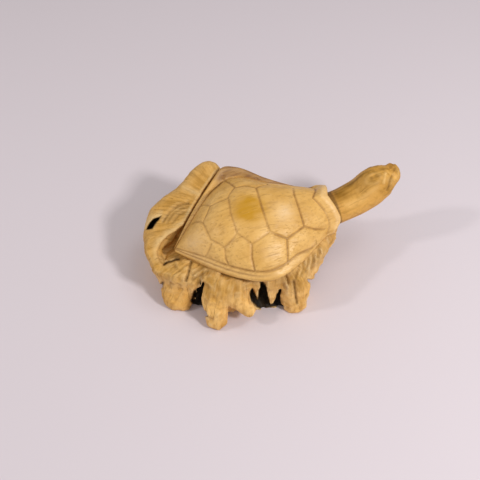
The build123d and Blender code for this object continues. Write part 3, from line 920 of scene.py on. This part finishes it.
def outline_field(across, height, outline):
    """Distance to a closed outline of straight edges, below zero inside it."""
    corners = np.array(outline, float)
    best = np.full(len(across), np.inf)
    inside = np.zeros(len(across), bool)
    for begin, end in zip(corners, np.roll(corners, -1, axis=0)):
        run = end - begin
        du, dz = across - begin[0], height - begin[1]
        share = np.clip((du * run[0] + dz * run[1]) / (run @ run), 0, 1)
        best = np.minimum(best, (du - share * run[0]) ** 2 + (dz - share * run[1]) ** 2)
        if run[1]:
            between = (height < begin[1]) != (height < end[1])
            inside ^= between & (across < begin[0] + run[0] * (height - begin[1]) / run[1])
    return np.where(inside, -1, 1) * np.sqrt(best)


def shell_place(points):
    """For places round the shell: height over its seat, distance outside its edge, and shares of the far
    side's rear and of its front."""
    local = to_shell(points)
    a = local[:, 0] + SHELL_LENGTH / 2
    outside = np.maximum(-local[:, 1] - half_width(a, False), local[:, 1] - half_width(a, True))
    outside = np.maximum(outside, np.abs(local[:, 0]) - SHELL_LENGTH / 2)
    rear = fade(*FAR_REAR_ENDS, a)
    far_rear = fade(*FAR_REAR_SIDE, local[:, 1]) * rear
    far_front = fade(*FAR_FRONT_SIDE, local[:, 1]) * (1 - rear)
    return local[:, 2] - seat_height(local[:, 0]) + RIM_EDGE, outside, far_rear, far_front


def root_skin(points):
    """Root before its gaps are cut: outlines blended by height, under the ledge and seat, joined with lobes
    and feet, less the gutter along the far edge and what would reach into the shell."""
    place = points[:, :2] - ROOT_MIDDLE
    angle = np.arctan2(place[:, 1], place[:, 0])
    height = points[:, 2]
    foot = outline_radius(FOOT_OUTLINE, angle)
    waist = outline_radius(WAIST_OUTLINE, angle)
    crown = outline_radius(CROWN_OUTLINE, angle)
    radius = foot + (waist - foot) * fade(0, WAIST_HEIGHT, height)
    radius += (crown - waist) * fade(WAIST_HEIGHT, CROWN_HEIGHT, height)
    away = np.hypot(place[:, 0], place[:, 1])
    over, outside, far_rear, far_front = shell_place(points)
    ledge = over + LEDGE_DROP - (LEDGE_DROP + FAR_LEDGE_RAISE) * far_rear + FAR_LEDGE_FALL * far_front
    field = blend_max(SKIN_SLOPE * (away - radius), ledge, LEDGE_BLEND)
    seat = np.maximum(over, outside + RIM_GROOVE)
    field = np.minimum(field, np.maximum(seat, SKIN_SLOPE * (away - crown)))
    view = to_view(points)
    for stations in LOBES.values():
        under = over + LOBE_CLEARANCE - FAR_LOBE_RAISE * far_rear
        field = blend_min(field, np.maximum(limb_field(view, stations), under), LOBE_BLEND)
    for stations in FEET.values():
        field = blend_min(field, limb_field(view, stations), FOOT_BLEND)
    gutter = np.maximum(np.abs(outside - GUTTER_PLACE) - GUTTER_HALF, -over - GUTTER_DEPTH)
    field = np.maximum(field, -gutter - GUTTER_ENDS * (1 - far_rear))
    return np.maximum(field, over - FAR_LIP_RAISE * (outside > FAR_LIP_START) * far_rear)


def far_gap(points, place, heading, width, height):
    """Gap between two feet on the far side: it runs outwards along a heading and narrows to its top."""
    outwards = np.array([np.cos(np.radians(heading)), np.sin(np.radians(heading))])
    flat = points[:, :2] - np.array(place)
    aside = flat @ np.array([-outwards[1], outwards[0]])
    half = width / 2 * np.clip(1 - points[:, 2] / height, 0, 1) ** GAP_TAPER - GAP_NARROWING
    return np.maximum(np.abs(aside) - half, -(flat @ outwards))


def plain_hollows(points, ragged):
    """Cuts from below and from the far and front sides: an oval hollow, the far gaps and the front's room."""
    field = HOLLOW_SLOPE * (np.linalg.norm((points - HOLLOW_MIDDLE) / HOLLOW_HALF, axis=1) - 1)
    for gap in FAR_GAPS:
        field = blend_min(field, far_gap(points, *gap) + ragged, HOLLOW_BLEND)
    roof = FRONT_CLEARANCE + FRONT_RISE * (points[:, 0] - FRONT_RISE_START)
    front = np.maximum(FRONT_SLOPE * (points[:, 2] - roof), FRONT_START - to_view(points)[:, 0])
    return blend_min(field, front + FRONT_RAGGED * ragged, HOLLOW_BLEND)


def seen_cuts(points, skin, ragged):
    """Cuts of the near side, run in along the photograph's lines of sight to their floors: the gaps with the
    notches, the tail's pocket, and where the gaps and the lobe's notch get near black painted shade."""
    pixel = to_picture(points)

    def inside(outline):
        return MM_PER_PIXEL * outline_field(pixel[:, 0], pixel[:, 1], outline)

    toward = (points - AIM_POINT) @ VIEW_AXES[2]
    gaps = np.minimum(np.minimum(inside(LEFT_GAP), inside(NEAR_GAP)), inside(RIGHT_NOTCH))
    # Painted shade, near black, on the gaps' walls deeper than this
    dark = np.maximum(gaps, GAP_SHADE_DEPTH + skin)
    gaps = np.minimum(gaps, np.maximum(inside(NEAR_ROOM), skin + SPLINTER_DEPTH))
    gaps = np.maximum(gaps, -skin - GAP_FLOOR_DEPTH - GAP_SLOPE * points[:, 2])
    notch = inside(LOBE_NOTCH)
    notch_cut = np.maximum(np.maximum(notch, NOTCH_FLOOR - toward), -skin - NOTCH_DEPTH)
    gaps = np.minimum(gaps, notch_cut)
    notch_shade = np.maximum(notch + NOTCH_SHADE_INSET, NOTCH_FLOOR - NOTCH_SHADE_MARGIN - toward)
    dark = np.minimum(dark, notch_shade)
    pocket = inside(POCKET)
    pocket = np.maximum(pocket, -skin - POCKET_DEPTH + POCKET_BOWL * np.minimum(pocket, 0))
    return gaps + CUT_RAGGED * ragged, pocket, dark + CUT_RAGGED * ragged


def grain_place(points):
    """Place in the root's grain, which runs outwards and down: its direction round the root, and its run."""
    place = points[:, :2] - ROOT_MIDDLE
    away = np.hypot(place[:, 0], place[:, 1])
    ring = GRAIN_RING * place / np.maximum(away, 1)[:, None]
    return np.concatenate([ring, GRAIN_STRETCH * (away - points[:, 2])[:, None]], axis=1)


def root_relief(points):
    """Height of the root's relief, smoother on the far lobes: lumps, folded and fine fibres, and gnarls."""
    bark = grain_place(points)
    smooth = 1 - FAR_SMOOTHING * shell_place(points)[2]
    lumps = LUMP_HEIGHT * smooth * noise(points, ROOT_LUMPS)
    fibres = FIBRE_HEIGHT * np.abs(noise(bark, ROOT_FIBRES))
    fibres += FINE_FIBRE_HEIGHT * noise(bark, FINE_FIBRES)
    fibres *= 1 - FAR_SMOOTHING + FAR_SMOOTHING * smooth
    gnarls = np.abs(noise(points, ROOT_GNARLS)) * fade(*GNARL_START, smooth)
    return lumps + fibres + gnarls - RELIEF_MEAN


def root_field(points):
    """Root as a field, below zero in the wood, with its masks: the skin less the hollows, the shown cuts and
    the lines, moved by the relief and ended at the floor."""
    skin = root_skin(points)
    ragged = RAGGED_HEIGHT * noise(points, RAGGED_EDGES)
    field = blend_max(skin, -plain_hollows(points, ragged), HOLLOW_EDGE)
    in_sight = (to_view(points)[:, 1] > SEEN_OUT) | (points[:, 0] < SEEN_REAR)
    seen = in_sight & (skin > SEEN_SKIN[0]) & (skin < SEEN_SKIN[1])
    gaps, pocket, dark = seen_cuts(points[seen], skin[seen], ragged[seen])
    field[seen] = blend_max(blend_max(field[seen], -pocket, POCKET_EDGE), -gaps, GAP_EDGE)
    masks = {name: np.zeros(len(points)) for name in ("line", "pocket", "gap")}
    masks["pocket"][seen] = fade(*POCKET_MASK, pocket)
    masks["gap"][seen] = fade(*GAP_SHADE_MASK, dark)
    close = seen & (np.abs(field) < RELIEF_REACH) & (skin > LINE_SKIN)
    pixel = to_picture(points[close])
    # The lines are cut in and darkened with painted shade
    for line, width, depth, line_shade in ROOT_LINES:
        share = bell(MM_PER_PIXEL * line_distance(pixel, np.array(line, float)), width)
        field[close] += depth * share
        masks["line"][close] = np.maximum(masks["line"][close], line_shade * share)
    near = np.abs(field) < RELIEF_REACH
    field[near] += root_relief(points[near])
    return np.maximum(field, -points[:, 2]), {"skin": skin, **masks}


def level_surface(field, low, step):
    """Mesh of a field's zero level: a vertex in each cell that it crosses, at the mean of the crossings on
    its edges, and a quad round each crossed edge of the grid."""
    cells = tuple(n - 1 for n in field.shape)
    total = np.zeros(cells + (3,))
    count = np.zeros(cells)
    wood = field < 0
    crossed = []
    for axis in range(3):
        first = [slice(None)] * 3
        second = [slice(None)] * 3
        first[axis] = slice(None, -1)
        second[axis] = slice(1, None)
        f0, f1 = field[tuple(first)], field[tuple(second)]
        change = wood[tuple(first)] != wood[tuple(second)]
        place = np.stack(np.nonzero(change), -1)
        cut = place.astype(float)
        cut[:, axis] += f0[change] / (f0[change] - f1[change])
        others = [i for i in range(3) if i != axis]
        corners = []
        for step_a, step_b in ((1, 1), (0, 1), (0, 0), (1, 0)):
            cell = place.copy()
            cell[:, others[0]] -= step_a
            cell[:, others[1]] -= step_b
            fits = np.all((cell >= 0) & (cell < cells), axis=1)
            np.add.at(total, tuple(cell[fits].T), cut[fits])
            np.add.at(count, tuple(cell[fits].T), 1)
            corners.append(cell)
        crossed.append((corners, wood[tuple(first)][change], axis))
    used = count > 0
    number = np.full(cells, -1)
    number[used] = np.arange(used.sum())
    points = total[used] / count[used][:, None] * step + low
    faces = []
    for corners, outward, axis in crossed:
        fits = np.all([np.all((c >= 0) & (c < cells), axis=1) for c in corners], axis=0)
        quad = np.stack([number[tuple(c[fits].T)] for c in corners], -1)
        flip = outward[fits] == (axis == 1)
        quad[flip] = quad[flip][:, ::-1]
        faces.append(quad)
    return points, np.concatenate(faces)


def root_tones(points):
    """Masks of the root's tones: painted shade in the lines, cuts and on the top, the pocket's darker wood
    with painted shade, and, felt along the normal at two reaches, painted shade where wood is near outside
    and pale edges, of wear and painted highlight, where air is near inside."""
    here, marks = root_field(points)
    normal = unit(np.stack([root_field(points + move)[0] - here for move in NORMAL_STEP * np.eye(3)], -1))
    # Painted shade: milder in the hollows, near black in the gaps, none in the pocket
    hollow = HOLLOW_SHADE * fade(*HOLLOW_SHADE_MASK, -marks["skin"])
    depth = np.maximum(hollow, marks["gap"]) * (1 - marks["pocket"])
    cavity_shade = np.zeros(len(points))
    wear_and_highlight = np.zeros(len(points))
    for reach, share in FEELERS:
        outside = root_field(points + reach * normal)[0] / reach
        inside = root_field(points - reach * normal)[0] / reach
        # Painted shade where wood is near outside, as in creases
        cavity_shade = np.maximum(cavity_shade, share * np.clip(1 - outside, 0, 1))
        wear_and_highlight = np.maximum(wear_and_highlight, share * np.clip(1 + inside, 0, 1))
    return {
        "groove": marks["line"],
        "depth": depth,
        "pocket": marks["pocket"],
        "cavity_shade": cavity_shade,
        # Painted shade on the root's top
        "top": fade(*TOP_SHADE_MASK, points[:, 2]),
        # Pale edges, of wear and painted highlight, none in the painted shade
        "wear_and_highlight": wear_and_highlight * (1 - depth),
    }


def make_root(material):
    """Root meshed from its field on a grid: its gaps and prongs can't be a surface of two parameters."""
    axes = [np.arange(low, high, VOXEL) for low, high in zip(ROOT_LOW, ROOT_HIGH)]
    grid = np.stack(np.meshgrid(*axes, indexing="ij"), -1)
    field = root_field(grid.reshape(-1, 3))[0].reshape(grid.shape[:3])
    points, faces = level_surface(field, ROOT_LOW, VOXEL)
    masks = {**root_tones(points), "grain": grain_place(points) / 1000}
    add_piece("natural_root", points, faces.tolist(), "root_base", material, masks)


def add_node(tree, kind, inputs=None, **settings):
    """Shader node with its settings, and its inputs given as values or as sockets to link."""
    made = tree.nodes.new(kind)
    for name, value in settings.items():
        setattr(made, name, value)
    for name, value in (inputs or {}).items():
        if isinstance(value, bpy.types.NodeSocket):
            tree.links.new(value, made.inputs[name])
        else:
            made.inputs[name].default_value = value
    return made


def stretch(tree, value, ends, bottom=0.0, top=1.0):
    """Smooth step of a value between two ends, onto the range from bottom to top."""
    inputs = {"Value": value, "From Min": ends[0], "From Max": ends[1], "To Min": bottom, "To Max": top}
    return add_node(tree, "ShaderNodeMapRange", inputs, interpolation_type="SMOOTHSTEP").outputs["Result"]


def combine(tree, operation, first, second):
    """One value worked out from two."""
    return add_node(tree, "ShaderNodeMath", {0: first, 1: second}, operation=operation).outputs["Value"]


def mix_colour(tree, share, first, second):
    """Colour between two, by a share."""
    colours = [c if isinstance(c, bpy.types.NodeSocket) else (*c, 1) for c in (first, second)]
    made = add_node(tree, "ShaderNodeMix", {0: share, 6: colours[0], 7: colours[1]}, data_type="RGBA")
    return made.outputs[2]


def wood_figure():
    """Node group of the wood's figure: broad tones, mottle, streaks along the grain, pores, and the height of
    the fibres, which is the streaks and some mottle less the pores."""
    group = bpy.data.node_groups.new("wood_figure", "ShaderNodeTree")
    for name in ("Place", "Grain"):
        group.interface.new_socket(name, in_out="INPUT", socket_type="NodeSocketVector")
    for name in (*FIGURE_NOISES, "Height"):
        group.interface.new_socket(name, in_out="OUTPUT", socket_type="NodeSocketFloat")
    given = group.nodes.new("NodeGroupInput").outputs
    found = {}
    for name, (place, scale, detail, roughness) in FIGURE_NOISES.items():
        inputs = {"Vector": given[place], "Scale": scale, "Detail": detail, "Roughness": roughness}
        found[name] = add_node(group, "ShaderNodeTexNoise", inputs).outputs["Fac"]
    found["Pores"] = stretch(group, found["Pores"], PORE_RANGE)
    sunk = combine(group, "MULTIPLY", found["Pores"], PORE_DEPTH)
    raised = combine(group, "MULTIPLY", found["Mottle"], MOTTLE_HEIGHT)
    found["Height"] = combine(group, "ADD", combine(group, "SUBTRACT", found["Streak"], sunk), raised)
    add_node(group, "NodeGroupOutput", found)
    return group


def wood_material(name, figure, tones, washes, mottled, roughness, gloss, relief, grained=True):
    """Wood: three tones by its figure, washes of colour by the piece's masks, and its fibres as bump. Where a
    piece has no grain of its own, the figure follows its place."""
    material = bpy.data.materials.new(name)
    material.use_nodes = True
    tree = material.node_tree
    place = add_node(tree, "ShaderNodeTexCoord").outputs["Object"]
    grain = place
    if grained:
        grain = add_node(tree, "ShaderNodeAttribute", attribute_name="grain").outputs["Vector"]
    wood = add_node(tree, "ShaderNodeGroup", {"Place": place, "Grain": grain}, node_tree=figure).outputs
    pale, middle, deep = tones
    colour = mix_colour(tree, stretch(tree, wood["Tone"], TONE_RANGE), pale, middle)
    colour = mix_colour(tree, stretch(tree, wood["Mottle"], MOTTLE_RANGE, 0, mottled), colour, deep)
    colour = mix_colour(tree, stretch(tree, wood["Streak"], STREAK_RANGE, 0, STREAK_STRENGTH), colour, deep)
    colour = mix_colour(tree, combine(tree, "MULTIPLY", wood["Pores"], PORE_STRENGTH), colour, deep)
    for mask, wash, strength, broken in washes:
        amount = add_node(tree, "ShaderNodeAttribute", attribute_name=mask).outputs["Fac"]
        patchy = stretch(tree, wood["Streak"], WASH_RANGE, strength * (1 - broken), strength)
        colour = mix_colour(tree, combine(tree, "MULTIPLY", amount, patchy), colour, wash)
    shader = tree.nodes["Principled BSDF"]
    tree.links.new(colour, shader.inputs["Base Color"])
    uneven = stretch(tree, wood["Tone"], ROUGHNESS_RANGE, roughness, roughness + ROUGHNESS_SPREAD)
    tree.links.new(uneven, shader.inputs["Roughness"])
    shader.inputs["Specular IOR Level"].default_value = gloss
    inputs = {"Height": wood["Height"], "Strength": BUMP_STRENGTH, "Distance": relief}
    tree.links.new(add_node(tree, "ShaderNodeBump", inputs).outputs["Normal"], shader.inputs["Normal"])
    return material


def make_floor(scene):
    """Pale paper floor."""
    mesh = bpy.data.meshes.new("floor")
    corners = [(FLOOR_HALF * x, FLOOR_HALF * y, 0) for x, y in ((-1, -1), (1, -1), (1, 1), (-1, 1))]
    mesh.from_pydata(corners, [], [(0, 1, 2, 3)])
    floor = bpy.data.objects.new("floor", mesh)
    scene.collection.objects.link(floor)
    material = bpy.data.materials.new("pale_paper")
    material.use_nodes = True
    shader = material.node_tree.nodes["Principled BSDF"]
    shader.inputs["Base Color"].default_value = FLOOR_COLOUR
    shader.inputs["Roughness"].default_value = FLOOR_ROUGHNESS
    mesh.materials.append(material)


def make_lights(scene):
    """Even sky, and soft square lights that face the origin."""
    scene.view_settings.view_transform = "Standard"
    world = bpy.data.worlds.new("studio")
    world.use_nodes = True
    sky = world.node_tree.nodes["Background"]
    sky.inputs["Color"].default_value = SKY_COLOUR
    sky.inputs["Strength"].default_value = SKY_STRENGTH
    scene.world = world
    for name, place, size, power in LIGHTS:
        lamp = bpy.data.lights.new(name, "AREA")
        lamp.size = size
        lamp.energy = power
        light = bpy.data.objects.new(name, lamp)
        light.location = place
        light.rotation_euler = (-Vector(place)).to_track_quat("-Z", "Y").to_euler()
        scene.collection.objects.link(light)


def make_camera(scene):
    """The photograph's camera, with its aim point shifted to the aim pixel."""
    lens = bpy.data.cameras.new("photo_view")
    lens.sensor_width = SENSOR_WIDTH
    lens.lens = SENSOR_WIDTH * FOCAL_PIXELS / IMAGE_PIXELS
    lens.shift_x = (IMAGE_PIXELS / 2 - AIM_PIXEL[0]) / IMAGE_PIXELS
    lens.shift_y = (AIM_PIXEL[1] - IMAGE_PIXELS / 2) / IMAGE_PIXELS
    lens.clip_start = CLIP_START
    camera = bpy.data.objects.new("photo_view", lens)
    back = VIEW_AXES[2]
    turned = Vector(back).to_track_quat("Z", "Y").to_matrix().to_4x4()
    camera.matrix_world = Matrix.Translation(in_part(AIM_POINT + VIEW_DISTANCE * back)) @ turned
    scene.collection.objects.link(camera)
    scene.camera = camera


make_floor(bpy.context.scene)
make_lights(bpy.context.scene)
make_camera(bpy.context.scene)
figure = wood_figure()
woods = {name: wood_material(name, figure, **finish) for name, finish in FINISHES.items()}
make_carapace(woods["waxed_shell_wood"])
make_neck(woods["waxed_neck_wood"])
make_root(woods["waxed_root_wood"])
for dowel in ("shell_peg_front", "shell_peg_rear", "neck_peg"):
    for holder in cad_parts[dowel].material_slots:
        holder.material = woods["dowel_wood"]
